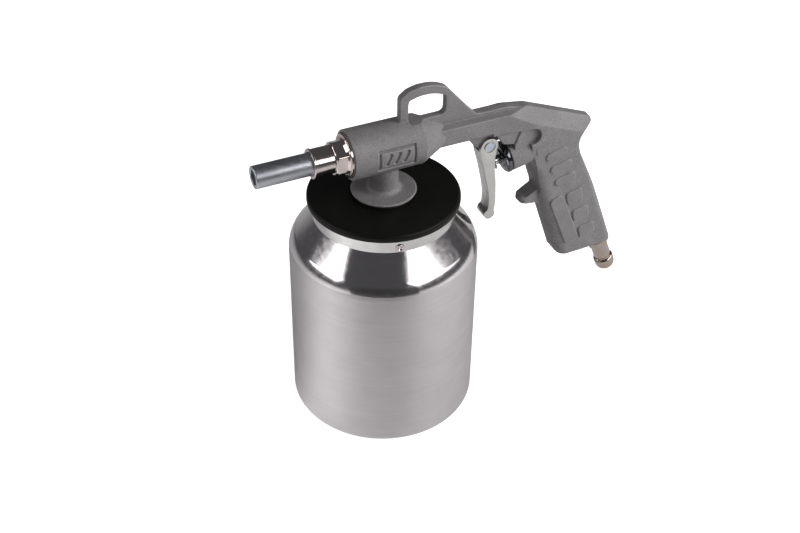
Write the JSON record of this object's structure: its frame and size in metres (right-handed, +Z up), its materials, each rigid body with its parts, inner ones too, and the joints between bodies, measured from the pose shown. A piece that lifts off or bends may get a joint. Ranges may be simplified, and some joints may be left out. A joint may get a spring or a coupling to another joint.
{
  "type": "suction-feed blast gun",
  "caption": "Cast pistol gun with steel nozzle, trigger air valve and hanging loop, screwed onto a round aluminium suction cup.",
  "frame": {"origin": "centre of the cup's flat base, which stands on the table", "axes": "+Z up along the cup's axis, nozzle towards -X, grip towards +X, Y across the gun"},
  "size_m": [0.2287, 0.105, 0.2009],
  "materials": {
    "cast_body": "matte sand-cast finish, satin grey",
    "spun_cup": "brushed wall, polished shoulder",
    "neck_aluminium": "turned, satin",
    "black_lid": "moulded, satin black",
    "nickel_plate": "bright nickel plate",
    "trigger_nickel": "satin nickel plated sheet",
    "pin_zinc": "blue zinc",
    "nozzle_steel": "turned steel",
    "dark_chrome": "black chrome",
    "inlet_nickel": "worn warm nickel",
    "brass": "turned",
    "spring_steel": "drawn wire",
    "black_rubber": "moulded",
    "fibre": "pressed fibre washer"
  },
  "bodies": {
    "cup": {"cup_body": "spun_cup", "neck_collar": "neck_aluminium", "vent_eyelet": "nickel_plate"},
    "lid_thread": {"lid_gasket": "black_rubber", "flange_gasket": "black_rubber"},
    "gun": {"screw_lid": "black_lid", "lid_lock_nut": "nickel_plate", "pickup_tube": "nozzle_steel", "gun_body": "cast_body", "air_jet": "brass", "jet_washer": "fibre", "nozzle_nut": "nickel_plate", "nozzle_tube": "nozzle_steel", "nozzle_seal": "black_rubber", "trigger_pin": "pin_zinc", "pin_clip": "spring_steel", "valve_cap": "dark_chrome", "cap_washer": "black_rubber", "stem_o_ring": "black_rubber", "valve_seat": "brass", "valve_spring": "spring_steel", "inlet_plug": "inlet_nickel", "inlet_washer": "fibre"},
    "trigger": {"trigger": "trigger_nickel"},
    "stem": {"valve_stem": "trigger_nickel", "stem_disc": "black_rubber"}
  },
  "joints": [
    {"name": "thread_rise", "type": "slide", "parent": "cup", "child": "lid_thread", "axis": [0, 0, 1], "range_m": [0, 0.0046]},
    {"name": "lid_turn", "type": "hinge", "parent": "lid_thread", "child": "gun", "pos_m": [0, 0, 0.1355], "axis": [0, 0, 1], "range_deg": [0, 540]},
    {"name": "trigger_pull", "type": "hinge", "parent": "gun", "child": "trigger", "pos_m": [0.0615, 0, 0.1541], "axis": [0, -1, 0], "range_deg": [0, 14], "stiffness_Nm_per_rad": 0.5, "springref_deg": -14.32},
    {"name": "stem_push", "type": "slide", "parent": "gun", "child": "stem", "axis": [0.9781, 0, 0.2079], "range_m": [0, 0.0036], "deforming": ["valve_spring"]}
  ],
  "couplings": [
    {"joint": "thread_rise", "follows": "lid_turn", "m_per_rad": 0.00047746},
    {"joint": "stem_push", "follows": "trigger_pull", "m_per_rad": 0.0143}
  ]
}
